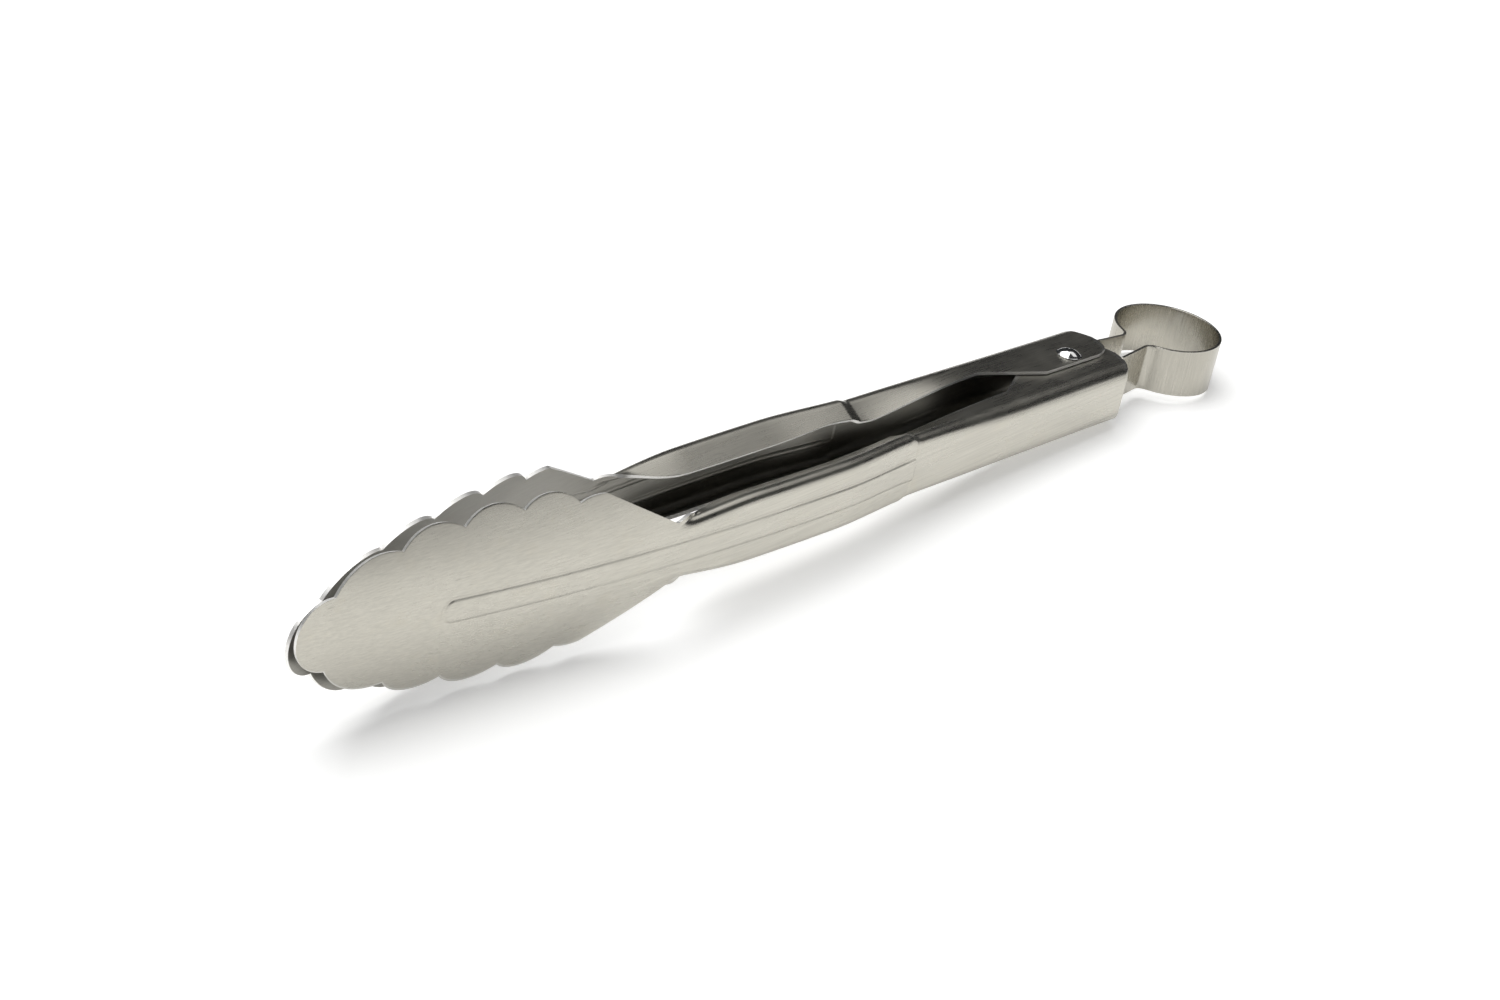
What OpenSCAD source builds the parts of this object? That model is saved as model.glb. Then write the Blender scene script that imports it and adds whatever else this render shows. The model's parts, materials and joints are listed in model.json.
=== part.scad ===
// Locking kitchen tongs: two stamped sheet steel arms on one rivet, a torsion
// spring round the rivet, and a ring of bent strip that locks the arms shut.
// The tongs lie on a table, head towards -X, ring towards +X, +Z up. Each part
// is worked out in the tongs' own frame, where Z is the pivot's axis, and is
// then laid on the table by lie_down(). The arms are drawn locked shut.

/* [Handle] */
// Thickness of the sheet steel of both arms
sheet = 0.9; // [0.7:0.05:1.1]
// Outside width of the closed handle at the pivot
handle_w = 25.6; // [24:0.2:31]
// Outside height of the handle
handle_h = 18; // [17:0.2:22]
// Outside radius of the bend between an arm's web and its flanges
bend_r = 4; // [3:0.1:4.5]
// Radius of the round rear end of the arms, about the pivot
end_r = 17.3; // [16.5:0.1:21]
// How far the rear flanges reach past the middle of the handle
flange_over = 3.9; // [3.4:0.1:5]
// Radius of the rear corner of the flanges, past the middle
flange_corner = 7.3; // [6:0.1:8.5]
// Distance from the pivot to the start of the flanges' slanted edge
slant_start = 15.4; // [14:0.1:19]
// Distance from the pivot to the end of the slanted edge
slant_end = 35; // [30:0.5:44]
// Running gap between the arms' nested flanges
play = 0.2; // [0.1:0.02:0.3]

/* [Forearm] */
// Distance from the pivot to the step between handle and forearm
step_x = 83; // [69:1:100]
// Outside half width of the closed forearms at their widest
forearm_w = 15.9; // [14:0.1:19.1]
// Outside half height of the forearm
forearm_h = 9.3; // [8.9:0.1:11.2]
// Outside radius of the bends along the forearm
forearm_bend = 2.3; // [1.8:0.1:3]
// Slope of the forearm's flanges down to their edges
flange_slope = 32; // [10:1:38]
// Distance from the middle to the flange edges between the slant and the step
slot_rear = 5; // [4.1:0.1:6]
// Distance from the middle to the flange edges along the forearm
slot_front = 7.1; // [5.9:0.1:8.6]
// Distance from the pivot to the notch where the flanges die out
notch_x = 175; // [160:1:185]
// Half height of the arm at the notch
notch_h = 8.1; // [6.8:0.1:9]
// Half height of the raised rib along the web
rib_half = 3; // [2.5:0.1:3.6]
// Height of the rib over the web beside it
rib_rise = 0.35; // [0.2:0.05:0.6]
// Distance from the pivot to the rounded front end of the rib
rib_end = 243; // [200:1:250]

/* [Scoop] */
// Distance from the pivot to the tip
reach = 280; // [262:1:336]
// Half height of the scoop at the deepest scallop valleys
scoop_h = 19.6; // [16.4:0.1:23.5]
// Height of one scallop over the line between its valleys
scallop_h = 3.1; // [2.6:0.1:3.7]
// How far the scoop bulges out from its edges
scoop_depth = 3.8; // [3.1:0.1:4.6]
// Gap between the two tips with the arms locked shut
tip_gap = 1.2; // [1:0.1:4]
// Lean of each arm out of the common plane, in degrees
arm_lean = 0.27; // [0:0.01:0.33]

/* [Pivot and spring] */
// Radius of the rivet's shank
shank_r = 2.3; // [1.9:0.1:2.7]
// Radial running clearance on the rivet's shank
shank_gap = 0.06; // [0.02:0.01:0.09]
// Radius of the rivet's domed head
head_r = 3.6; // [3.3:0.1:4.5]
// Height of the rivet's domed head
head_h = 1.6; // [1.2:0.1:2]
// Wall of the spacer sleeve round the shank
sleeve_wall = 0.8; // [0.6:0.05:1]
// Wire diameter of the torsion spring
wire_d = 1.6; // [1.3:0.1:1.7]
// Whole turns of the torsion spring
spring_turns = 5; // [4:1:5]
// Length of the spring's legs in front of the pivot
spring_leg = 40; // [33:1:48]

/* [Lock ring] */
// Thickness of the strip that the ring is bent from
strip = 0.8; // [0.6:0.05:1]
// Height of the strip at the handle
strip_h = 13.1; // [11:0.1:13.3]
// Height of the strip at the back of the ring
ring_h = 15.2; // [13.4:0.1:18.3]
// Outside radius of the ring
ring_r = 15.4; // [13:0.1:18.5]
// Distance from the pivot to the middle of the ring, pulled out
ring_x = 49.5; // [48:0.5:56]
// Outside half width of the neck between ring and handle
neck_half = 4.3; // [3.9:0.1:4.8]
// Radius of the bends from the neck into the ring
neck_bend = 3; // [2:0.1:4]
// Gap between the lock's shoulders and the webs
lock_gap = 0.55; // [0.5:0.05:0.8]
// Distance from the pivot to the lock's shoulders, pulled out
shoulder_x = 9.5; // [8.5:0.1:10]
// Half height of the strip inside the handle, between the spring's legs
tongue_half = 3; // [2.5:0.1:3.3]

/* [Hidden] */
$fn = 48;
steel = [0.66, 0.65, 0.62];
bright_steel = [0.85, 0.85, 0.84];
spring_steel = [0.45, 0.45, 0.44];

// ---- Helpers ----
function clamp01(t) = min(1, max(0, t));
function ramp(x, a, b) = clamp01((x - a) / (b - a));
function ease(x, a, b) = let (t = ramp(x, a, b)) t * t * (3 - 2 * t);
function mix(a, b, t) = a + (b - a) * t;
function joined(lists) = [for (l = lists) each l];
function unit(v) = v / norm(v);

// ---- The arm, by its distance d in front of the pivot ----
// Nested flanges: at the top the near arm's lies inside the far arm's, and at
// the bottom outside it, so that both arms are the same stamping.
nest = sheet + play;
channel_half = (handle_h - nest) / 2;
handle_flare = 0.8;
widest_x = step_x + 32;
flange_fade = notch_x - 26;
taper_power = 2.3;
tip_half = tip_gap / 2 + sheet;

// Outside half width of the closed tongs over the crest of the rib
function crest(d) =
    d < step_x ? handle_w / 2 + handle_flare * ramp(d, 0, step_x)
    : d < widest_x ? mix(handle_w / 2 + handle_flare, forearm_w, ease(d, step_x - 6, widest_x))
    : mix(forearm_w, tip_half, pow(ramp(d, widest_x, reach), taper_power));

// Drop from the crest of the rib to the strips beside it, which starts at the
// step and dies out in front of the rib
function strip_drop(d) = rib_rise * (ease(d, step_x - 1, step_x + 1) - ease(d, rib_end, rib_end + 2));

// Height of the middle of the near arm's channel
function middle(d) = mix(-nest / 2, d * tan(arm_lean), ease(d, slant_end, step_x));

// Half height of the channel, which steps up from the handle to the forearm
function half_height(d) = mix(channel_half, forearm_h, ease(d, step_x - 1, step_x + 3));

// Outside radius of the bend, which tightens at the step
function bend_at(d) = mix(bend_r, forearm_bend, ease(d, slant_end, step_x));

// Slope of the flanges, which are level over the handle
function slope_at(d) = flange_slope * ease(d, slant_end - 4, step_x);

// Distance from the middle to the flange edge
function edge_at(d) =
    d < slant_end ? mix(-flange_over, slot_rear, ramp(d, slant_start, slant_end))
    : mix(slot_rear, slot_front, ease(d, step_x - 8, step_x + 14));

// Edge of the scoop, as [d, half height] points: a straight taper up from the
// notch, four round scallops between five valleys, and a round nose.
scoop_len = reach - notch_x;
valleys = [for (v = [[0.287, 0.94], [0.44, 1], [0.597, 0.955], [0.753, 0.83], [0.917, 0.46]])
    [notch_x + v[0] * scoop_len, v[1] * scoop_h]];
shoulder = [notch_x + 0.21 * scoop_len, 0.98 * scoop_h];
scallop_steps = 6;
nose_steps = 7;

// Points on the arc from a to b that rises h over the line between them
function bow(a, b, h, steps) =
    let (half = norm(b - a) / 2, r = (half * half + h * h) / (2 * h), out = [a[1] - b[1], b[0] - a[0]])
    let (centre = (a + b) / 2 + unit(out) * (h - r), turn = asin(half / r))
    let (lead = atan2(out[1], out[0]))
    [for (i = [1:steps]) centre + r * [cos(lead + turn - 2 * turn * i / steps),
        sin(lead + turn - 2 * turn * i / steps)]];

nose_v = valleys[4];
nose_r = (pow(nose_v[1], 2) + pow(reach - nose_v[0], 2)) / (2 * (reach - nose_v[0]));
nose_x = reach - nose_r;
nose_from = asin((nose_v[0] - nose_x) / nose_r);
nose_to = 80;
scoop_outline = joined([
    [for (t = [0.15, 0.35, 0.6, 0.85]) mix([notch_x, notch_h], shoulder, t)],
    [shoulder],
    bow(shoulder, valleys[0], 0.5, 3),
    for (i = [0:3]) bow(valleys[i], valleys[i + 1], scallop_h, scallop_steps),
    [for (i = [1:nose_steps]) let (a = mix(nose_from, nose_to, i / nose_steps))
        [nose_x + nose_r * sin(a), nose_r * cos(a)]]]);

// ---- Half of the arm's section, from the middle of the web to the edge ----
bend_points = 5;
side_points = bend_points + 4;
rib_slope = 0.3;
function rib_at(h) = min(rib_half, 0.55 * h);
function web_edge(h) = mix(rib_at(h), h, 0.4);
function dish(z) = scoop_depth * pow(z / scoop_h, 2);
function web_half(d, h, edge, w) =
    let (out = crest(d), low = out - strip_drop(d), rib = rib_at(h))
    [for (p = [[out, 0], [out, rib - rib_slope], [low, rib + rib_slope], [low, edge]])
        [p[0] - w * dish(p[1]), p[1]]];

// Channel: the bend, then the flange, cut back towards the notch
function channel_half_path(d) =
    let (r = bend_at(d), h = half_height(d), slope = slope_at(d))
    let (low = crest(d) - strip_drop(d), turn = 90 + slope)
    let (arc = r * turn * PI / 180, bend_a = low - r * (1 - cos(turn)))
    let (flange = max(0, (bend_a - edge_at(d)) / cos(slope)))
    let (cut = pow(ramp(d, flange_fade, notch_x), 2.2))
    let (notch_turn = asin((notch_h - h + r) / r), full = arc + flange)
    let (stop = mix(full, r * notch_turn * PI / 180, cut), bend_stop = min(arc, 0.7 * stop))
    [for (i = [1:side_points])
        let (s = i <= bend_points ? bend_stop * i / bend_points
            : mix(bend_stop, stop, (i - bend_points) / (side_points - bend_points)))
        let (a = min(turn, s / r * 180 / PI), extra = max(0, s - arc))
        [low - r * (1 - cos(a)) - extra * cos(slope), h - r + r * sin(a) - extra * sin(slope)]];

// Scoop: a shallow dish, deepest at the middle of the web
function scoop_path(d, h) =
    let (low = crest(d) - strip_drop(d), from = web_edge(h))
    [for (i = [1:side_points]) let (z = mix(from, h, i / side_points)) [low - dish(z), z]];

// The channel turns into the scoop on both sides of the notch
function half_section(d, h) =
    let (w = ease(d, notch_x - 30, notch_x + 20))
    let (wide = d < notch_x ? notch_h : (h - (1 - w) * notch_h) / w)
    let (c = channel_half_path(min(d, notch_x)), s = scoop_path(d, wide))
    let (bend_start = half_height(d) - bend_at(d))
    concat(web_half(d, mix(bend_start, wide, w), mix(bend_start, web_edge(wide), w), w), mix(c, s, w));

// Full outside section, from the top edge to the bottom edge, as [a, z]
function section(d, h) =
    let (half = half_section(d, h), n = len(half))
    concat([for (i = [n - 1:-1:0]) [half[i][0], middle(d) + half[i][1]]],
        [for (i = [1:n - 1]) [half[i][0], middle(d) - half[i][1]]]);

// The same section moved inwards by the sheet's thickness
function inner(sec) = [for (i = [0:len(sec) - 1])
    let (t = unit(sec[min(i + 1, len(sec) - 1)] - sec[max(i - 1, 0)]))
    sec[i] + sheet * [t[1], -t[0]]];

handle_stations = [-end_r - 1, 0, slant_start, mix(slant_start, slant_end, 0.5), slant_end,
    mix(slant_end, step_x, 0.25), mix(slant_end, step_x, 0.5), mix(slant_end, step_x, 0.75),
    step_x - 3, step_x - 0.8, step_x + 0.8, step_x + 3, step_x + 8];
forearm_stations = [for (t = [1:5]) mix(step_x + 8, flange_fade, t / 5)];
fade_stations = [for (t = [0.25, 0.45, 0.62, 0.76, 0.88, 1]) mix(flange_fade, notch_x, t)];
stations = concat([for (d = joined([handle_stations, forearm_stations, fade_stations])) [d, notch_h]],
    scoop_outline);

module arm_shell() {
    outer = [for (s = stations) section(s[0], s[1])];
    rows = len(stations);
    cols = len(outer[0]);
    shell = [for (i = [0:rows - 1]) each [for (p = outer[i]) [-stations[i][0], -p[0], p[1]]]];
    lining = [for (i = [0:rows - 1]) each [for (p = inner(outer[i])) [-stations[i][0], -p[0], p[1]]]];
    back = rows * cols;
    outside = [for (i = [0:rows - 2]) for (j = [0:cols - 2]) let (k = i * cols + j)
        each [[k, k + 1, k + cols], [k + 1, k + cols + 1, k + cols]]];
    inside = [for (f = outside) [f[0] + back, f[2] + back, f[1] + back]];
    edges = [for (i = [0:rows - 2]) for (j = [0, cols - 1]) let (a = i * cols + j, b = a + cols)
        each j == 0 ? [[a, b, a + back], [b, b + back, a + back]]
            : [[a, a + back, b], [b, a + back, b + back]]];
    ends = [for (j = [0:cols - 2]) for (i = [0, rows - 1]) let (a = i * cols + j, b = a + 1)
        each i == 0 ? [[a, a + back, b], [b, a + back, b + back]]
            : [[a, b, a + back], [b, b + back, a + back]]];
    polyhedron(concat(shell, lining), joined([outside, inside, edges, ends]));
}

// One stamping, shaped as the near arm, with its rear end round the pivot
bore_r = shank_r + shank_gap;
module stamping() {
    difference() {
        arm_shell();
        cylinder(r = bore_r, h = 2 * handle_h, center = true);
        rear_trim();
    }
}

corner_x = sqrt(pow(end_r - flange_corner, 2) - pow(flange_over - flange_corner, 2));
module rear_trim() {
    translate([corner_x, flange_over - flange_corner, -handle_h])
        difference() {
            cube([end_r, end_r, 2 * handle_h]);
            translate([0, 0, -1])
                cylinder(r = flange_corner, h = 2 * handle_h + 2, $fn = 96);
        }
    difference() {
        translate([0, -handle_w, -handle_h])
            cube([end_r + 10, 2 * handle_w, 2 * handle_h]);
        cylinder(r = end_r, h = 3 * handle_h, center = true, $fn = 96);
    }
}

// ---- Laying the tongs on the table ----
// The far arm leans down at the front, so its lowest scallop is the front
// support. The rear one is the ring's end or the handle's, whichever is lower.
far_low = [for (s = scoop_outline) [s[0], s[1] + middle(s[0])]];
rear_low = [[end_r, handle_h / 2], [ring_x + ring_r, ring_h / 2]];
pitch = min([for (r = rear_low) max([for (p = far_low) atan((p[1] - r[1]) / (r[0] + p[0]))])]);
lift = max([for (r = rear_low) r[0] * sin(pitch) + r[1] * cos(pitch)]);
tip_low = min([for (s = scoop_outline) -s[0] * cos(pitch) - (s[1] + middle(s[0])) * sin(pitch)]);
ring_back = (ring_x + ring_r) * cos(pitch) + ring_h / 2 * sin(pitch);
module lie_down() {
    translate([-(tip_low + ring_back) / 2, 0, lift])
        rotate([0, pitch, 0])
            children();
}

module near_arm() {
    color(steel)
        lie_down()
            stamping();
}

module far_arm() {
    color(steel)
        lie_down()
            rotate([180, 0, 0])
                stamping();
}

// ---- Rivet and sleeve ----
head_gap = 0.05;
tail_r = 0.92 * head_r;
tail_h = 0.75 * head_h;
module dome(r, h) {
    ball = (r * r + h * h) / (2 * h);
    intersection() {
        translate([0, 0, h - ball])
            sphere(r = ball, $fn = 96);
        cylinder(r = r, h = h);
    }
}

module pivot_rivet() {
    seat = handle_h / 2 + head_gap;
    color(bright_steel)
        lie_down() {
            cylinder(r = shank_r, h = 2 * seat, center = true);
            translate([0, 0, seat])
                dome(head_r, head_h);
            translate([0, 0, -seat])
                mirror([0, 0, 1])
                    dome(tail_r, tail_h);
        }
}

sleeve_gap = 0.1;
sleeve_r = bore_r + sleeve_gap + sleeve_wall;
module spacer_sleeve() {
    color(steel)
        lie_down()
            difference() {
                cylinder(r = sleeve_r, h = handle_h - 2 * (nest + sheet + sleeve_gap), center = true);
                cylinder(r = bore_r + sleeve_gap, h = handle_h, center = true);
            }
}

// ---- Torsion spring: a close coil round the sleeve, with a leg to each web ----
coil_gap = 0.15;
coil_r = sleeve_r + coil_gap + wire_d / 2;
coil_pitch = wire_d + 0.1;
leg_y = crest(spring_leg) - sheet - wire_d / 2 - coil_gap;
leg_dist = norm([spring_leg, leg_y]);
tangent_at = atan2(-leg_y, -spring_leg) + acos(coil_r / leg_dist);
coil_sweep = 360 * spring_turns - 2 * tangent_at;
coil_half = coil_pitch * coil_sweep / 720;
coil_rings = 14 * spring_turns + 6;
spring_path = joined([
    [for (t = [0, 0.5]) mix([-spring_leg, -leg_y, -coil_half],
        [coil_r * cos(tangent_at), coil_r * sin(tangent_at), -coil_half], t)],
    [for (i = [0:coil_rings]) let (a = tangent_at + coil_sweep * i / coil_rings)
        [coil_r * cos(a), coil_r * sin(a), coil_half * (2 * i / coil_rings - 1)]],
    [for (t = [0.5, 1]) mix([coil_r * cos(tangent_at), -coil_r * sin(tangent_at), coil_half],
        [-spring_leg, leg_y, coil_half], t)]]);

// Round tube along a nearly level path
module tube(path, r, sides) {
    n = len(path);
    rings = [for (i = [0:n - 1])
        let (t = unit(path[min(i + 1, n - 1)] - path[max(i - 1, 0)]))
        let (side = unit(cross([0, 0, 1], t)), up = cross(t, side))
        each [for (k = [0:sides - 1]) let (a = 360 * k / sides)
            path[i] + r * (cos(a) * side + sin(a) * up)]];
    walls = [for (i = [0:n - 2]) for (k = [0:sides - 1])
        let (a = i * sides + k, b = i * sides + (k + 1) % sides)
        each [[a, a + sides, b], [b, a + sides, b + sides]]];
    caps = [[for (k = [0:sides - 1]) k], [for (k = [sides - 1:-1:0]) (n - 1) * sides + k]];
    polyhedron(rings, concat(walls, caps));
}

module torsion_spring() {
    color(spring_steel)
        lie_down()
            tube(spring_path, wire_d / 2, 8);
}

// ---- Lock ring: one strip, bent into a ring with two legs ----
half_strip = strip / 2;
lock_half = handle_w / 2 - sheet - lock_gap - half_strip;
bend_x = ring_x - sqrt(pow(ring_r + neck_bend, 2) - pow(neck_half + neck_bend, 2));
mouth = atan2(neck_half + neck_bend, ring_x - bend_x);
throat = [end_r - 4, coil_r + wire_d / 2 + strip + 0.25];
tongue_x = -(coil_r + wire_d / 2 + 0.8 + half_strip);
hook_y = 0.8 * coil_r;
seam = 1;
leg_splay = atan2(throat[1] - neck_half, bend_x - throat[0]) + seam;
leg_points = [[bend_x, neck_half - half_strip], throat, [shoulder_x, lock_half],
    [tongue_x, lock_half], [tongue_x, hook_y]];

module bar(a, b) {
    side = half_strip * unit([a[1] - b[1], b[0] - a[0]]);
    polygon([a - side, b - side, b + side, a + side]);
    translate(b)
        circle(r = half_strip, $fn = 24);
}

// Quarter plane wedges that keep only the turn of a bend between two angles
module sector(r, from, to) {
    mid = (from + to) / 2;
    polygon([[0, 0], r * [cos(from), sin(from)], 1.5 * r * [cos(mid), sin(mid)], r * [cos(to), sin(to)]]);
}

module leg_outline() {
    for (i = [0:len(leg_points) - 2])
        bar(leg_points[i], leg_points[i + 1]);
    translate([bend_x, neck_half + neck_bend])
        intersection() {
            difference() {
                circle(r = neck_bend + strip, $fn = 64);
                circle(r = neck_bend, $fn = 64);
            }
            sector(2 * neck_bend + 2, -90 - leg_splay, seam - mouth);
        }
}

module ring_outline() {
    translate([ring_x, 0])
        difference() {
            circle(r = ring_r, $fn = 96);
            circle(r = ring_r - strip, $fn = 96);
            sector(2 * ring_r, 180 - mouth, 180 + mouth);
        }
    leg_outline();
    mirror([0, 1])
        leg_outline();
}

// Side view of the strip: low inside the handle, where it passes between the
// spring's legs and clears the arms' bends, then the full strip and the ring
module strip_side() {
    far_end = ring_x + ring_r + 1;
    upper = [[tongue_x - 2, tongue_half], [end_r - 0.4, tongue_half], [end_r + 1.6, strip_h / 2],
        [bend_x, strip_h / 2], [far_end, ring_h / 2]];
    polygon(concat(upper, [for (i = [len(upper) - 1:-1:0]) [upper[i][0], -upper[i][1]]]));
}

module lock_ring() {
    color(steel)
        lie_down()
            intersection() {
                linear_extrude(height = ring_h + 2, center = true)
                    ring_outline();
                rotate([90, 0, 0])
                    linear_extrude(height = 3 * ring_r, center = true)
                        strip_side();
            }
}

near_arm();
far_arm();
pivot_rivet();
spacer_sleeve();
torsion_spring();
lock_ring();
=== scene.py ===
import json
import math

import bpy
import numpy as np
from mathutils import Matrix, Vector


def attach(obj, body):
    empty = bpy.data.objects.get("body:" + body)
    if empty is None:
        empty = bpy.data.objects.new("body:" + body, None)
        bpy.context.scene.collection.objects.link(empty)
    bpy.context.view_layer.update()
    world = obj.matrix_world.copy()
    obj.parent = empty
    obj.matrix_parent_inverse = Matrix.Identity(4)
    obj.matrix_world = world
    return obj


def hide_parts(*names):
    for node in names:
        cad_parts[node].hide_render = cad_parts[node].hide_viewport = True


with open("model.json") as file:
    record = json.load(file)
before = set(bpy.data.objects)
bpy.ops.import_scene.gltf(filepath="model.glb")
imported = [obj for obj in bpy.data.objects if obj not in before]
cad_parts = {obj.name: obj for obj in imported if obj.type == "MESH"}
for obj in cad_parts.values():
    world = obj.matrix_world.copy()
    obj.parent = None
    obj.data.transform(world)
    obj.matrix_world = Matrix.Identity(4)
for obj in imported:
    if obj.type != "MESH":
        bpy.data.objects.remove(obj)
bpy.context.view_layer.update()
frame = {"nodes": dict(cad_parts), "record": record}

# ---------------------------------------------------------------- driving sizes, in millimetres
# Those that the CAD model has too repeat its own values, so that the fine meshes lie on its solids.
MM = 0.001
SHEET = 0.9
PLAY = 0.2  # gap between the two nested handles
NEST = SHEET + PLAY

# The handle: a channel whose rear end is round and whose flanges overlap the other arm's.
HANDLE_W = 25.6
HANDLE_H = 18.0
HANDLE_FLARE = 0.8
BEND_R = 4.0
END_R = 17.3
FLANGE_OVER = 3.9
FLANGE_CORNER = 7.3
SLANT_START = 15.4
SLANT_END = 35.0
CHANNEL_HALF = (HANDLE_H - NEST) / 2
ARM_LEAN = 0.27

# The forearm: narrower flanges, a slot between the arms and a taper towards the scoop.
STEP_X = 83.0
STEP_RISE = (STEP_X - 1, STEP_X + 3)
FOREARM_W = 15.9
FOREARM_H = 9.3
FOREARM_BEND = 2.3
FLANGE_SLOPE = 32.0
SLOT_REAR = 5.0
SLOT_FRONT = 7.1
SLOT_WIDENS = (STEP_X - 8, STEP_X + 14)
SWELL_START = STEP_X - 6
WIDEST_X = STEP_X + 32
TAPER_POWER = 2.3

# The notch, where the flanges have run out, and the scoop in front of it.
REACH = 280.0
NOTCH_X = 175.0
NOTCH_H = 8.1
NOTCH_POWER = 2.2
FLANGE_FADE = NOTCH_X - 26
SCOOP_BLEND = (NOTCH_X - 30, NOTCH_X + 20)
SCOOP_LEN = REACH - NOTCH_X
SCOOP_H = 19.6
SCOOP_DEPTH = 3.8
TIP_GAP = 1.2
TIP_HALF = TIP_GAP / 2 + SHEET
SHOULDER_AT = (0.21, 0.98)  # as shares of the scoop's length and height, as in VALLEYS
VALLEYS = [(0.287, 0.94), (0.44, 1), (0.597, 0.955), (0.753, 0.83), (0.917, 0.46)]
SHOULDER_BOW = 0.5
SCALLOP_H = 3.1

# The rib: raised over the web in front of the step, with a fine line pressed in round it.
RIB_HALF = 3.0
RIB_RISE = 0.35
RIB_END = 243.0
RIB_NOSE = RIB_END - RIB_HALF
RIB_SOFT = 0.45
RIB_START = (STEP_X - 0.5, STEP_X + 0.7)
RIB_THINS = (STEP_X + 8, NOTCH_X)
RIB_LEFT = 0.3  # share of its rise that the rib keeps at the notch
RIB_RUNOUT = 22
GROOVE_W = 0.5
GROOVE_DEEP = 0.2
GROOVE_START = (STEP_X, STEP_X + 6)

# The rivet, the sleeve and the spring.
SHANK_R = 2.3
SHANK_GAP = 0.06
HEAD_R = 3.6
HEAD_H = 1.6
HEAD_GAP = 0.05
HEAD_DIMPLE = 0.22
TAIL_R = 0.92 * HEAD_R
TAIL_H = 0.75 * HEAD_H
SLEEVE_WALL = 0.8
SLEEVE_GAP = 0.1
SLEEVE_R = SHANK_R + SHANK_GAP + SLEEVE_GAP + SLEEVE_WALL
WIRE_D = 1.6
SPRING_TURNS = 5
SPRING_LEG = 40.0
COIL_GAP = 0.15
TURN_GAP = 0.1
COIL_R = SLEEVE_R + COIL_GAP + WIRE_D / 2

# The lock ring's strip: tongues, shoulders, throat, neck and ring.
STRIP = 0.8
STRIP_H = 13.1
RING_H = 15.2
RING_R = 15.4
RING_X = 49.5
NECK_HALF = 4.3
NECK_BEND = 3.0
NECK_X = RING_X - math.sqrt((RING_R + NECK_BEND) ** 2 - (NECK_HALF + NECK_BEND) ** 2)
LOCK_GAP = 0.55
SHOULDER_X = 9.5
TONGUE_HALF = 3.0
TONGUE_GAP = 0.8
TONGUE_END = 0.8 * COIL_R
THROAT_X = END_R - 4
THROAT_GAP = 0.25
LEG_BEND = 1.1
STRIP_GROWS = (END_R - 0.4, END_R + 1.6)

# Rounding of the cut edges, and how many columns of points the arm's section has.
ARM_ROUND = 0.28
RING_ROUND = 0.14
SLEEVE_ROUND = 0.12
SIDE_COLUMNS = 26
BEND_COLUMNS = SIDE_COLUMNS * 6 // 10


def ramp(x, a, b):
    return np.clip((np.asarray(x, float) - a) / (b - a), 0, 1)


def ease(x, a, b):
    t = ramp(x, a, b)
    return t * t * (3 - 2 * t)


def mix(a, b, t):
    return a + (b - a) * t


# ---------------------------------------------------------------- the arm's section along its length
# d is the distance in front of the pivot, z the height from the middle of the web.
def crest(d):
    """Outside half width of the closed tongs over the rib."""
    handle = HANDLE_W / 2 + HANDLE_FLARE * ramp(d, 0, STEP_X)
    wide = HANDLE_W / 2 + HANDLE_FLARE
    forearm = mix(wide, FOREARM_W, ease(d, SWELL_START, WIDEST_X))
    taper = mix(FOREARM_W, TIP_HALF, ramp(d, WIDEST_X, REACH) ** TAPER_POWER)
    return float(handle if d < STEP_X else forearm if d < WIDEST_X else taper)


def middle(d):
    """Height of the web's middle: half a nest low in the handle, on the arm's lean in front of it."""
    lean = math.tan(math.radians(ARM_LEAN))
    return float(mix(-NEST / 2, d * lean, ease(d, SLANT_END, STEP_X)))


def half_height(d):
    return float(mix(CHANNEL_HALF, FOREARM_H, ease(d, *STEP_RISE)))


def bend_at(d):
    return float(mix(BEND_R, FOREARM_BEND, ease(d, SLANT_END, STEP_X)))


def slope_at(d):
    return math.radians(FLANGE_SLOPE) * float(ease(d, SLANT_END - 4, STEP_X))


def edge_at(d):
    """Half width at which the flange is cut; below 0 it reaches past the middle."""
    if d < SLANT_END:
        return float(mix(-FLANGE_OVER, SLOT_REAR, ramp(d, SLANT_START, SLANT_END)))
    return float(mix(SLOT_REAR, SLOT_FRONT, ease(d, *SLOT_WIDENS)))


def dish(z):
    """How far the scoop's side has curved in at the height z."""
    return SCOOP_DEPTH * (z / SCOOP_H) ** 2


def behind_step(d):
    """1 on the web behind the step, which is as high as the rib, and 0 in front of it."""
    return 1 - ease(d, *RIB_START)


def from_rib_middle(d, z):
    """Distance from the rib's middle line, which ends where its round front end begins."""
    return np.hypot(z, max(0.0, d - RIB_NOSE))


def rib_mask(d, z):
    """1 on the raised rib and on the whole web behind the step, 0 on the recessed strips."""
    rib = 1 - ease(from_rib_middle(d, z), RIB_HALF - RIB_SOFT, RIB_HALF + RIB_SOFT)
    return np.maximum(rib, behind_step(d))


def strip_drop(d):
    """How far the recessed strips lie below the rib."""
    along = float(mix(1, RIB_LEFT, ease(d, *RIB_THINS)))
    front = float(1 - ease(d, RIB_END, RIB_END + RIB_RUNOUT))
    return RIB_RISE * along * front


def web_heights(top):
    """Heights up the web from its middle, gathered at the edge of the rib."""
    rib = min(RIB_HALF, 0.55 * top)
    spread = 0.27 * rib
    low, high = rib - spread, rib + spread
    inner = np.linspace(0, low, 7)[:-1]
    edge = np.linspace(low, high, 19)[:-1]
    return np.concatenate([inner, edge, np.linspace(high, top, 8)])


def groove(d, z):
    """Depth of the fine line that is pressed in round the rib and its rounded front end."""
    off = (from_rib_middle(d, z) - RIB_HALF) / GROOVE_W
    return GROOVE_DEEP * float(ease(d, *GROOVE_START)) * np.exp(-off * off)


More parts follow.
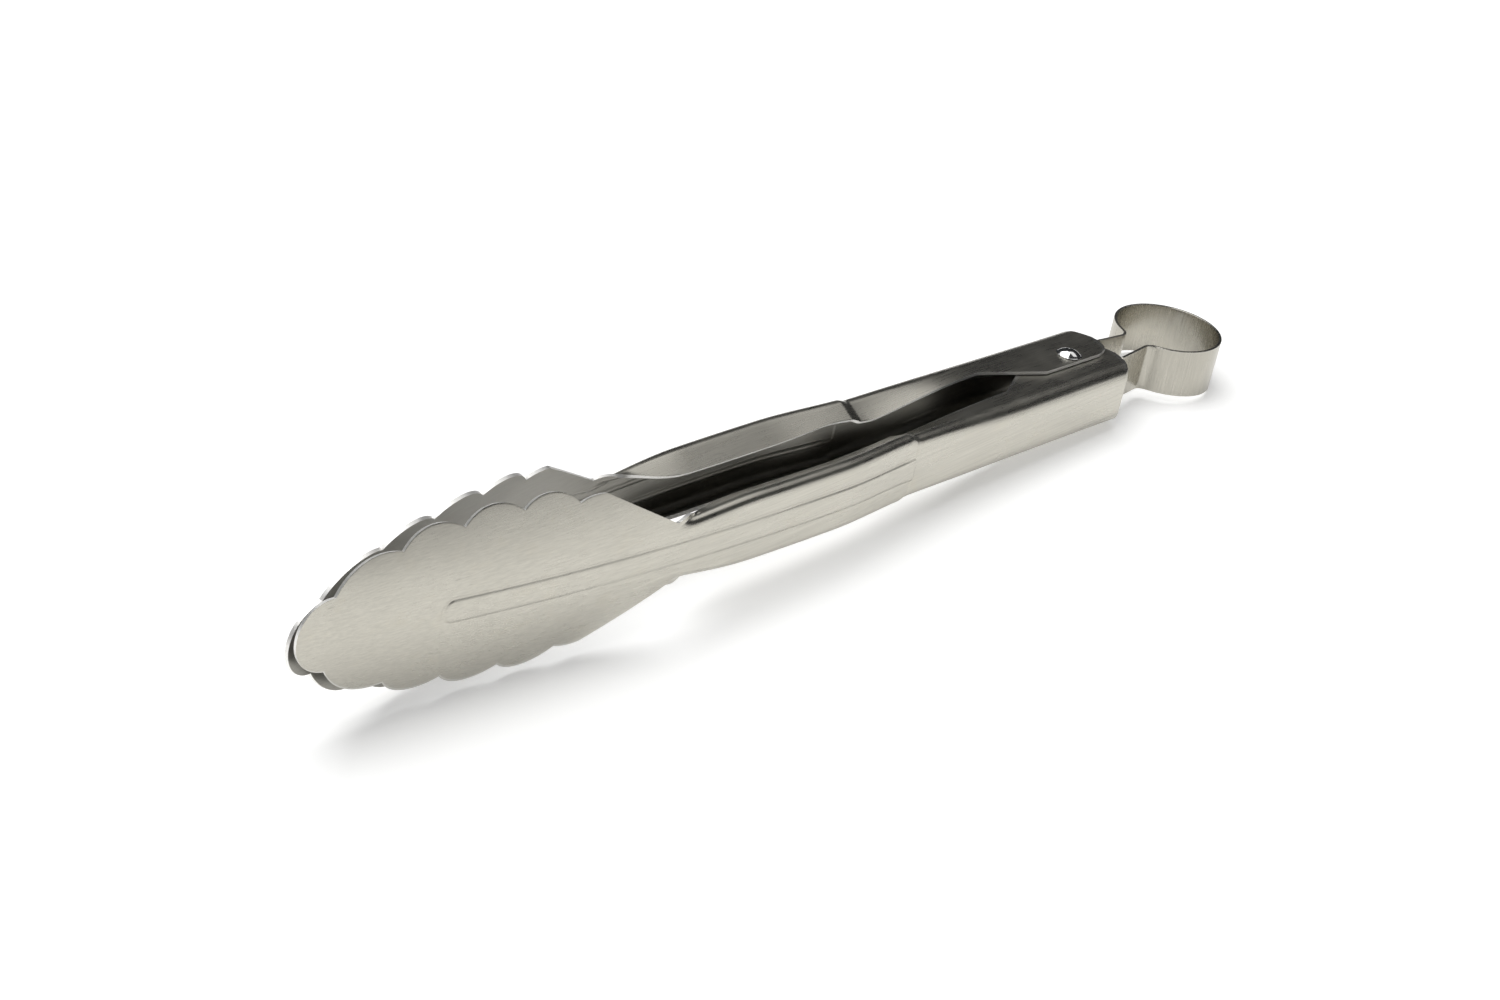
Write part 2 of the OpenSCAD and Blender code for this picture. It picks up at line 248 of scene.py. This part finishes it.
def channel_side(d):
    """The bend and the flange, from the web's end to the cut edge, as rows of (width, height)."""
    r, h, slope = bend_at(d), half_height(d), slope_at(d)
    low = crest(d) - strip_drop(d) * (1 - behind_step(d))
    turn = math.pi / 2 + slope
    arc = r * turn
    bend_end = low - r * (1 - math.cos(turn))
    flange = max(0.0, (bend_end - edge_at(d)) / math.cos(slope))
    cut = float(ramp(d, FLANGE_FADE, NOTCH_X)) ** NOTCH_POWER
    notch_arc = r * math.asin(min(1, max(-1, (NOTCH_H - h + r) / r)))
    stop = mix(arc + flange, notch_arc, cut)
    near_bend = min(arc, stop)
    on_bend = np.linspace(0, near_bend, BEND_COLUMNS + 1)[1:]
    on_flange = np.linspace(near_bend, stop, SIDE_COLUMNS - BEND_COLUMNS + 1)[1:]
    s = np.concatenate([on_bend, on_flange])
    a, extra = np.minimum(turn, s / r), np.maximum(0, s - arc)
    width = low - r * (1 - np.cos(a)) - extra * math.cos(slope)
    height = h - r + r * np.sin(a) - extra * math.sin(slope)
    return np.stack([width, height], 1)


def half_section(d, h):
    """Outside of half an arm, from the middle of the web to the edge, as rows of (width, height)."""
    w = float(ease(d, *SCOOP_BLEND))
    wide = NOTCH_H if d < NOTCH_X else (h - (1 - w) * NOTCH_H) / w
    web_top = wide * 0.45
    z_web = mix(web_heights(half_height(d) - bend_at(d)), web_heights(web_top), w)
    low = crest(d) - strip_drop(d)
    rib = strip_drop(d) * rib_mask(d, z_web) - groove(d, z_web)
    web = np.stack([low + rib - w * dish(z_web), z_web], 1)
    z_side = mix(web_top, wide, np.linspace(0, 1, SIDE_COLUMNS + 1)[1:])
    scoop = np.stack([low - dish(z_side), z_side], 1)
    return np.concatenate([web, mix(channel_side(min(d, NOTCH_X)), scoop, w)])


def full_section(d, h):
    """Both halves of an arm's outside, from its upper edge to its lower edge."""
    half = half_section(d, h)
    m = middle(d)
    top = np.stack([half[::-1, 0], m + half[::-1, 1]], 1)
    low = np.stack([half[1:, 0], m - half[1:, 1]], 1)
    return np.concatenate([top, low])


# ---------------------------------------------------------------- the arm's outline and its points
def bow(a, b, h, steps):
    """Points on the arc from a to b that rises h over the line between them."""
    a, b = np.array(a), np.array(b)
    half = np.linalg.norm(b - a) / 2
    r = (half * half + h * h) / (2 * h)
    out = np.array([a[1] - b[1], b[0] - a[0]]) / (2 * half)
    centre = (a + b) / 2 + out * (h - r)
    turn = math.asin(half / r)
    angles = math.atan2(out[1], out[0]) + turn - 2 * turn * np.arange(1, steps + 1) / steps
    return [tuple(centre + r * np.array([math.cos(t), math.sin(t)])) for t in angles]


def on_scoop(mark):
    """A mark's place, as (distance, height)."""
    return NOTCH_X + mark[0] * SCOOP_LEN, mark[1] * SCOOP_H


def scoop_outline():
    """The notch, the shoulder, the scallops between the valleys and the round nose."""
    valleys = [on_scoop(v) for v in VALLEYS]
    shoulder = on_scoop(SHOULDER_AT)
    notch = np.array([NOTCH_X, NOTCH_H])
    points = [tuple(mix(notch, np.array(shoulder), t)) for t in np.linspace(0, 1, 25)[1:]]
    points += bow(shoulder, valleys[0], SHOULDER_BOW, 8)
    for a, b in zip(valleys[:-1], valleys[1:]):
        points += bow(a, b, SCALLOP_H, 22)
    vx, vz = valleys[-1]
    r = (vz * vz + (REACH - vx) ** 2) / (2 * (REACH - vx))
    cx = REACH - r
    nose = np.linspace(math.asin((vx - cx) / r), math.radians(86), 20)[1:]
    return points + [(cx + r * math.sin(t), r * math.cos(t)) for t in nose]


def with_rib_end(outline):
    """The outline with extra points on its own lines, close together over the rib's rounded end."""
    ds, hs = zip(*outline)
    extra = np.arange(RIB_NOSE - 1, RIB_END + 1.4, 0.16)
    return sorted(outline + [(float(d), float(np.interp(d, ds, hs))) for d in extra])


def stations():
    """Where the arm has rows of points, closest together at the step, as (distance, height)."""
    before_step, past_step = STEP_X - 4, STEP_X + 9
    spans = [(0, SLANT_START, 12), (SLANT_START, SLANT_END, 14), (SLANT_END, before_step, 22),
             (before_step, past_step, 40), (past_step, FLANGE_FADE, 34), (FLANGE_FADE, NOTCH_X, 34)]
    plain = [(0.0, NOTCH_H)]
    for start, end, count in spans:
        plain += [(float(d), NOTCH_H) for d in np.linspace(start, end, count)[1:]]
    return plain + with_rib_end(scoop_outline())


def rear_reach(a):
    """How far behind the pivot the sheet goes at the half width a; below 0 is past the middle."""
    corner_a = FLANGE_OVER - FLANGE_CORNER
    past = -a - corner_a
    corner_x = math.sqrt((END_R - FLANGE_CORNER) ** 2 - corner_a ** 2)
    on_round = math.sqrt(max(0, END_R ** 2 - a * a))
    if past <= 0:
        return on_round
    return min(on_round, corner_x + math.sqrt(max(0, FLANGE_CORNER ** 2 - past ** 2)))


def near_arm_points():
    """Rows of points on the outside of the near arm, from its rear end to its tip."""
    rows = []
    base = full_section(0.0, NOTCH_H)
    rear_steps = 14
    for t in np.linspace(1, 0, rear_steps + 1)[:-1]:
        rows.append([(t * rear_reach(a), -a, z) for a, z in base])
    for d, h in stations():
        rows.append([(-d, -a, z) for a, z in full_section(d, h)])
    return np.array(rows)


# ---------------------------------------------------------------- laying the tongs on the table
HINGE = next(j for j in frame["record"]["behaviour"]["joints"] if j["name"] == "near_arm_hinge")
AXIS = Vector(HINGE["axis"])
PITCH = math.atan2(AXIS.x, AXIS.z)
TURNED = Matrix.Rotation(PITCH, 4, "Y")
PLACE = Matrix.Translation(Vector(HINGE["pos_m"])) @ TURNED @ Matrix.Scale(MM, 4)


def placed(points, flip=False):
    """Tongs' own millimetres to the row frame; flip turns the piece half round about the long axis."""
    p = np.asarray(points, float).reshape(-1, 3)
    if flip:
        p = p * np.array([1, -1, -1])
    m = np.array(PLACE)
    return p @ m[:3, :3].T + m[:3, 3]


def make_mesh(name, points, faces, smooth=True):
    mesh = bpy.data.meshes.new(name)
    mesh.from_pydata([tuple(p) for p in points], [], faces)
    mesh.validate()
    mesh.update()
    if smooth:
        mesh.polygons.foreach_set("use_smooth", [True] * len(mesh.polygons))
    obj = bpy.data.objects.new(name, mesh)
    bpy.context.scene.collection.objects.link(obj)
    return obj


def grid_faces(rows, cols, around=False):
    """Four-sided faces over a grid of points, row by row; around joins each row's last to its first."""
    faces = []
    for i in range(rows - 1):
        for j in range(cols if around else cols - 1):
            this, following = i * cols, (i + 1) * cols
            k = (j + 1) % cols
            faces.append((this + j, this + k, following + k, following + j))
    return faces


def ring_points(sides):
    """Cosine and sine at even steps once round."""
    angles = [2 * math.pi * k / sides for k in range(sides)]
    return [(math.cos(a), math.sin(a)) for a in angles]


def end_faces(rows, sides):
    """The faces that close the first and last row of a tube."""
    last = (rows - 1) * sides
    return [tuple(range(sides)), tuple(last + k for k in range(sides))]


def round_edges(obj, width, segments=2):
    edges = obj.modifiers.new("edges", "BEVEL")
    edges.width = width * MM
    edges.segments = segments
    edges.limit_method = "ANGLE"
    edges.angle_limit = math.radians(50)
    normals = obj.modifiers.new("flat_faces", "WEIGHTED_NORMAL")
    normals.weight = 50


def thicken(obj, thickness, rounding, segments=2):
    """Gives a surface its sheet thickness on the inner side, and rounds the cut edges."""
    solid = obj.modifiers.new("sheet", "SOLIDIFY")
    solid.thickness = thickness * MM
    solid.offset = -1
    solid.use_even_offset = False
    round_edges(obj, rounding, segments)
    return solid


def make_arm(name, flip):
    """One arm; its inner side takes the second material, darker as painted shade, and its cut edges the
    third, paler partly as a painted highlight.
    """
    grid = near_arm_points()
    rows, cols = grid.shape[:2]
    arm = make_mesh(name, placed(grid, flip), [f[::-1] for f in grid_faces(rows, cols)])
    solid = thicken(arm, SHEET, ARM_ROUND, segments=3)
    solid.material_offset = 1
    solid.material_offset_rim = 2
    return arm


# ---------------------------------------------------------------- rivet, spring and lock ring
def lathe(name, profile, sides=64):
    """A closed turned piece about the pivot's axis, from (radius, height) points."""
    points = []
    for r, z in profile:
        points += [(r * c, r * s, z) for c, s in ring_points(sides)]
    first, last = end_faces(len(profile), sides)
    faces = grid_faces(len(profile), sides, around=True) + [first[::-1], last]
    return make_mesh(name, placed(points), faces)


def dome(r, h, seat, dimple):
    """Half profile of a domed head with a rounded rim and a shallow dimple, from the rim inwards."""
    rim = [(0.97, 0), (1, 0.06), (0.995, 0.13)]
    out = [(r * across, seat + h * up) for across, up in rim]
    ball = (r * r + h * h) / (2 * h)
    for t in np.linspace(0.96, 0.02, 22):
        x = r * t
        z = seat + math.sqrt(ball * ball - x * x) - (ball - h)
        pit = dimple * (1 - float(ease(x, 0.16 * r, 0.34 * r)))
        out.append((x, z - pit))
    return out


def make_rivet():
    """Head on top, shank, and the flatter tail below."""
    seat = HANDLE_H / 2 + HEAD_GAP
    head = dome(HEAD_R, HEAD_H, seat, HEAD_DIMPLE)
    tail = [(r, -z) for r, z in dome(TAIL_R, TAIL_H, seat, 0.0)]
    return lathe("rivet_body", tail[::-1] + [(SHANK_R, -seat), (SHANK_R, seat)] + head)


def tube(name, path, r, sides=20):
    """A closed round wire along a path."""
    path = np.asarray(path, float)
    points = []
    for i, p in enumerate(path):
        t = path[min(i + 1, len(path) - 1)] - path[max(i - 1, 0)]
        t /= np.linalg.norm(t)
        side = np.cross([0, 0, 1], t)
        side /= np.linalg.norm(side)
        up = np.cross(t, side)
        points += [p + r * (c * side + s * up) for c, s in ring_points(sides)]
    first, last = end_faces(len(path), sides)
    faces = [f[::-1] for f in grid_faces(len(path), sides, around=True)] + [first, last[::-1]]
    return make_mesh(name, placed(points), faces)


def make_spring():
    """The coil, and a leg for each arm with a little of the coil's first or last turn."""
    leg_y = crest(SPRING_LEG) - SHEET - WIRE_D / 2 - COIL_GAP
    start = math.atan2(-leg_y, -SPRING_LEG) + math.acos(COIL_R / math.hypot(SPRING_LEG, leg_y))
    sweep = 2 * math.pi * SPRING_TURNS - 2 * start
    half = (WIRE_D + TURN_GAP) * sweep / (4 * math.pi)
    shared = 0.03  # share of the coil that each leg repeats
    cover = 1.002  # keeps the repeated part just outside the coil

    def on_coil(t):
        a = start + sweep * t
        return (COIL_R * math.cos(a), COIL_R * math.sin(a), half * (2 * t - 1))

    whole = np.linspace(0, 1, 40 * SPRING_TURNS)
    coil = tube("spring_coil", [on_coil(t) for t in whole], WIRE_D / 2)
    legs = []
    ends = (("spring_leg_near", -1, 0, shared), ("spring_leg_far", 1, 1, 1 - shared))
    for name, sign, end, hold in ends:
        root = np.array(on_coil(end))
        tip = np.array((-SPRING_LEG, sign * leg_y, sign * half))
        straight = [tuple(mix(tip, root, t)) for t in np.linspace(0, 1, 24)[:-1]]
        wound = [on_coil(t) for t in np.linspace(end, hold, 12)]
        legs.append(tube(name, straight + wound, WIRE_D / 2 * cover))
    return coil, legs


def rounded_corner(a, b, c):
    """Points on a curve that takes the corner b off the way from a to c."""
    a, b, c = (np.array(p, float) for p in (a, b, c))
    back, on = np.linalg.norm(b - a), np.linalg.norm(c - b)
    cut = min(LEG_BEND, 0.4 * back, 0.4 * on)
    p = b + (a - b) / back * cut
    q = b + (c - b) / on * cut
    return [tuple((1 - t) ** 2 * p + 2 * t * (1 - t) * b + t * t * q) for t in np.linspace(0, 1, 7)]


def leg_path():
    """Middle line of one leg of the strip in plan, from its tongue to the neck."""
    half = STRIP / 2
    lock_half = HANDLE_W / 2 - SHEET - LOCK_GAP - half
    tongue_x = -(COIL_R + WIRE_D / 2 + TONGUE_GAP + half)
    throat_y = COIL_R + WIRE_D / 2 + STRIP + THROAT_GAP
    corners = [(tongue_x, TONGUE_END), (tongue_x, lock_half), (SHOULDER_X, lock_half),
               (THROAT_X, throat_y), (NECK_X, NECK_HALF - half)]
    rounded = [corners[0]]
    for a, b, c in zip(corners, corners[1:], corners[2:]):
        rounded += rounded_corner(a, b, c)
    rounded.append(corners[-1])
    path = []
    for a, b in zip(rounded[:-1], rounded[1:]):
        n = max(1, int(math.dist(a, b) / 0.5))
        path += [tuple(mix(np.array(a), np.array(b), t / n)) for t in range(n)]
    return path


def lock_path():
    """Middle line of the strip in plan, from one tongue round the ring to the other."""
    half = STRIP / 2
    bend_y = NECK_HALF + NECK_BEND
    mouth = math.atan2(bend_y, RING_X - NECK_X)
    bend_r, ring_r = NECK_BEND + half, RING_R - half
    neck = [(NECK_X + bend_r * math.cos(t), bend_y + bend_r * math.sin(t))
            for t in np.linspace(-math.pi / 2, -mouth, 14)]
    loop = [(RING_X + ring_r * math.cos(t), ring_r * math.sin(t))
            for t in np.linspace(math.pi - mouth, 0, 60)[1:]]
    upper = leg_path() + neck + loop
    return upper + [(x, -y) for x, y in upper[::-1][1:]]


def strip_half_at(x):
    """Half height of the strip: low inside the handle, then the full strip and the growing ring."""
    marks = [*STRIP_GROWS, NECK_X, RING_X + RING_R + 1]
    return float(np.interp(x, marks, [TONGUE_HALF, STRIP_H / 2, STRIP_H / 2, RING_H / 2]))


def make_lock_ring():
    path = np.array(lock_path())
    steps = np.linalg.norm(np.diff(path, axis=0), axis=1)
    path = path[np.concatenate([[True], steps > 1e-4])]
    across = np.linspace(1, -1, 13)
    points, n = [], len(path)
    for i, (x, y) in enumerate(path):
        t = path[min(i + 1, n - 1)] - path[max(i - 1, 0)]
        t /= np.linalg.norm(t)
        out = np.array([-t[1], t[0]]) * STRIP / 2
        h = strip_half_at(x)
        points += [(x + out[0], y + out[1], k * h) for k in across]
    ring = make_mesh("ring_strip", placed(points), [f[::-1] for f in grid_faces(n, len(across))])
    thicken(ring, STRIP, RING_ROUND)
    return ring


# ---------------------------------------------------------------- materials
# Grains are how far each axis is squeezed: a small share draws the grain out along that axis.
LENGTHWISE = (0.012, 1.0, 1.0)
ACROSS_STRIP = (1.0, 1.0, 0.03)
SIDEWAYS = (1.0, 0.05, 1.0)
PLAIN = (1.0, 1.0, 1.0)
SCRATCH_COARSER = 0.6
SCRATCH_DARK = 0.62
# Pale colour that sharp edges are lightened towards: a painted highlight, as if the edges caught the
# light.
EDGE_HIGHLIGHT_PAINT = (0.93, 0.93, 0.92, 1)


class Surface:
    """A material's node tree, with short ways to add the nodes that the steels use."""

    def __init__(self, name):
        self.mat = bpy.data.materials.new(name)
        self.mat.use_nodes = True
        self.nodes = self.mat.node_tree.nodes
        self.links = self.mat.node_tree.links
        self.sockets = self.nodes["Principled BSDF"].inputs
        self.coords = self.nodes.new("ShaderNodeTexCoord").outputs["Object"]

    def feed(self, socket, value):
        """Sets a socket to a constant, or links it to another node's output."""
        if isinstance(value, (int, float, tuple)):
            socket.default_value = value
        else:
            self.links.new(value, socket)

    def noise(self, squeeze, scale, detail, roughness):
        """Noise over the row frame's axes, each squeezed, and then turned by the tongs' pitch."""
        place = self.nodes.new("ShaderNodeMapping")
        place.inputs["Rotation"].default_value = (0, -PITCH, 0)
        place.inputs["Scale"].default_value = squeeze
        self.links.new(self.coords, place.inputs["Vector"])
        n = self.nodes.new("ShaderNodeTexNoise")
        n.inputs["Scale"].default_value = scale
        n.inputs["Detail"].default_value = detail
        n.inputs["Roughness"].default_value = roughness
        self.links.new(place.outputs["Vector"], n.inputs["Vector"])
        return n.outputs["Fac"]

    def remap(self, value, low, high, to_low, to_high):
        m = self.nodes.new("ShaderNodeMapRange")
        m.inputs["From Min"].default_value = low
        m.inputs["From Max"].default_value = high
        m.inputs["To Min"].default_value = to_low
        m.inputs["To Max"].default_value = to_high
        self.links.new(value, m.inputs["Value"])
        return m.outputs["Result"]

    def math(self, kind, a, b):
        m = self.nodes.new("ShaderNodeMath")
        m.operation = kind
        self.feed(m.inputs[0], a)
        self.feed(m.inputs[1], b)
        return m.outputs[0]

    def blend(self, factor, a, b):
        """Colour a, going over to colour b as the factor grows."""
        m = self.nodes.new("ShaderNodeMix")
        m.data_type = "RGBA"
        m.blend_type = "MIX"
        for key, kind, value in (("Factor", "VALUE", factor), ("A", "RGBA", a), ("B", "RGBA", b)):
            self.feed(next(s for s in m.inputs if s.name == key and s.type == kind), value)
        return next(s for s in m.outputs if s.type == "RGBA")


def shaded(base, red, green, blue):
    """The base colour with each channel multiplied, up to white, and an alpha of 1."""
    return tuple(min(1.0, c * k) for c, k in zip(base, (red, green, blue))) + (1,)


def steel(name, base, rough, grain=LENGTHWISE, bump=0.045, smudge=0.25, edge_highlight=0.35):
    """Brushed steel: fine stretched grain, soft smudges, sparse scratches and a painted highlight on
    sharp edges.
    """
    skin = Surface(name)
    skin.sockets["Metallic"].default_value = 1.0
    coarse = tuple(SCRATCH_COARSER * g if g < 1 else g for g in grain)
    fine = skin.noise(grain, 2600.0, 6, 0.7)
    scratch = skin.noise(coarse, 910.0, 3, 0.5)
    cloud = skin.noise((0.5, 1, 1), 70.0, 5, 0.6)
    stain = skin.noise((0.7, 1, 1), 210.0, 4, 0.65)

    rough_grain = skin.remap(fine, 0.3, 0.7, -0.03, 0.04)
    rough_cloud = skin.remap(cloud, 0.3, 0.7, -0.03, 0.05 * (1 + smudge))
    total = skin.math("ADD", skin.math("ADD", rough_grain, rough_cloud), rough)
    skin.feed(skin.sockets["Roughness"], total)

    dark, light = shaded(base, 0.80, 0.80, 0.80), shaded(base, 1.10, 1.10, 1.10)
    colour = skin.blend(skin.remap(fine, 0.25, 0.75, 0, 1), dark, light)
    warm = shaded(base, 0.98, 0.94, 0.86)
    colour = skin.blend(skin.remap(stain, 0.55, 0.75, 0, smudge), colour, warm)
    line = shaded(base, SCRATCH_DARK, SCRATCH_DARK, SCRATCH_DARK)
    colour = skin.blend(skin.remap(scratch, 0.70, 0.76, 0, 0.5), colour, line)
    # Painted highlight: the sharpest edges, found by pointiness, go over to the pale edge colour.
    edge = skin.nodes.new("ShaderNodeNewGeometry").outputs["Pointiness"]
    colour = skin.blend(skin.remap(edge, 0.52, 0.60, 0, edge_highlight), colour, EDGE_HIGHLIGHT_PAINT)
    skin.feed(skin.sockets["Base Color"], colour)

    height = skin.math("ADD", skin.math("MULTIPLY", fine, 0.6), skin.math("MULTIPLY", scratch, 0.5))
    relief = skin.nodes.new("ShaderNodeBump")
    relief.inputs["Strength"].default_value = bump
    relief.inputs["Distance"].default_value = 0.0002
    skin.feed(relief.inputs["Height"], height)
    skin.feed(skin.sockets["Normal"], relief.outputs["Normal"])
    return skin.mat


def paper(name):
    """White paper that glows a little, so that it stays as even as the photo's ground."""
    mat = bpy.data.materials.new(name)
    mat.use_nodes = True
    shader = mat.node_tree.nodes["Principled BSDF"]
    shader.inputs["Base Color"].default_value = (0.93, 0.93, 0.925, 1)
    shader.inputs["Emission Color"].default_value = (1.0, 1.0, 0.99, 1)
    shader.inputs["Emission Strength"].default_value = 0.36
    shader.inputs["Roughness"].default_value = 0.75
    shader.inputs["Specular IOR Level"].default_value = 0.25
    return mat


def dress(obj, *mats):
    obj.data.materials.clear()
    for mat in mats:
        obj.data.materials.append(mat)


ARM_STEEL = steel("arm_satin_steel", (0.54, 0.52, 0.46), 0.27)
# The inner side: its darker base colour is painted shade, for the dark floor between the arms that it
# reflects; its higher roughness is a duller finish.
ARM_INSIDE_PAINTED_SHADE = steel("arm_inside_painted_shade_steel", (0.34, 0.33, 0.30), 0.36, smudge=0.4, edge_highlight=0.1)
# The cut edges: a pale base colour that is partly a painted highlight, lightening the rims as if lit;
# the higher roughness is their rougher cut.
CUT_EDGE_WITH_HIGHLIGHT = steel("arm_cut_edge_highlight_steel", (0.88, 0.87, 0.84), 0.46, grain=PLAIN, edge_highlight=0.2)
RING_STEEL = steel("ring_satin_steel", (0.47, 0.45, 0.395), 0.25, grain=ACROSS_STRIP, smudge=0.2)
RIVET_STEEL = steel("rivet_polished_steel", (0.78, 0.78, 0.77), 0.12, grain=PLAIN, bump=0.03, edge_highlight=0.1)
WIRE_STEEL = steel("spring_wire_steel", (0.42, 0.42, 0.41), 0.32, grain=SIDEWAYS, bump=0.1)
SLEEVE_STEEL = steel("sleeve_turned_steel", (0.55, 0.55, 0.53), 0.3, grain=PLAIN)

# ---------------------------------------------------------------- pieces
near = make_arm("near_arm_sheet", False)
far = make_arm("far_arm_sheet", True)
for arm, node in ((near, "near_arm"), (far, "far_arm")):
    dress(arm, ARM_STEEL, ARM_INSIDE_PAINTED_SHADE, CUT_EDGE_WITH_HIGHLIGHT)
    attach(arm, node)
    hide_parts(node)

rivet = make_rivet()
dress(rivet, RIVET_STEEL)
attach(rivet, "pivot")
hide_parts("pivot_rivet")

coil, legs = make_spring()
for piece, body in zip([coil] + legs, ("pivot", "near_arm", "far_arm")):
    dress(piece, WIRE_STEEL)
    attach(piece, body)
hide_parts("torsion_spring")

ring = make_lock_ring()
dress(ring, RING_STEEL)
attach(ring, "lock_ring")
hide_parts("lock_ring")

sleeve = frame["nodes"]["spacer_sleeve"]
dress(sleeve, SLEEVE_STEEL)
round_edges(sleeve, SLEEVE_ROUND)

# ---------------------------------------------------------------- stage, light and camera
FLOOR = 4  # half the floor's side, in metres
corners = [(-FLOOR, -FLOOR, 0), (FLOOR, -FLOOR, 0), (FLOOR, FLOOR, 0), (-FLOOR, FLOOR, 0)]
floor = make_mesh("floor", corners, [(0, 1, 2, 3)], smooth=False)
dress(floor, paper("floor_paper"))


def soft_box(name, azimuth, elevation, distance, width, height, power):
    """A rectangular light; azimuth 0 is towards -Y and 90 towards +X, elevation is above the table."""
    aim = Vector((0, 0, 0.02))
    a, e = math.radians(azimuth), math.radians(elevation)
    level = math.cos(e)
    spot = aim + distance * Vector((math.sin(a) * level, -math.cos(a) * level, math.sin(e)))
    data = bpy.data.lights.new(name, "AREA")
    data.shape = "RECTANGLE"
    data.size = width
    data.size_y = height
    data.energy = power
    lamp = bpy.data.objects.new(name, data)
    lamp.location = spot
    lamp.rotation_euler = (aim - spot).to_track_quat("-Z", "Y").to_euler()
    bpy.context.scene.collection.objects.link(lamp)


soft_box("key_softbox", azimuth=208, elevation=71, distance=1.6, width=2.3, height=1.4, power=31)
soft_box("side_softbox", azimuth=88, elevation=52, distance=1.9, width=1.2, height=0.8, power=3)
soft_box("low_card", azimuth=47, elevation=6, distance=1.5, width=1.8, height=0.3, power=1.6)
soft_box("front_fill", azimuth=-75, elevation=40, distance=2.2, width=1.4, height=1.0, power=2)

world = bpy.data.worlds.new("studio")
bpy.context.scene.world = world
world.use_nodes = True
sky = world.node_tree.nodes["Background"]
sky.inputs["Color"].default_value = (0.9, 0.93, 1.0, 1)
sky.inputs["Strength"].default_value = 0.03

# The camera that was fitted to the photo, in the row frame.
CAMERA_AT = (-0.58889, -0.41662, 0.39610)
CAMERA_RIGHT = (0.652673, -0.740552, 0.160003)
CAMERA_UP = (0.269236, 0.424106, 0.864665)
LENS_MM = 79.2
SENSOR_MM = 36.0
camera_data = bpy.data.cameras.new("camera")
camera_data.lens = LENS_MM
camera_data.sensor_width = SENSOR_MM
camera_data.clip_start = 0.01
camera_data.clip_end = 20
camera = bpy.data.objects.new("camera", camera_data)
right = Vector(CAMERA_RIGHT).normalized()
up = Vector(CAMERA_UP).normalized()
back = right.cross(up)
camera.matrix_world = Matrix.Translation(CAMERA_AT) @ Matrix((right, up, back)).transposed().to_4x4()
bpy.context.scene.collection.objects.link(camera)
bpy.context.scene.camera = camera
bpy.context.scene.view_settings.view_transform = "Standard"
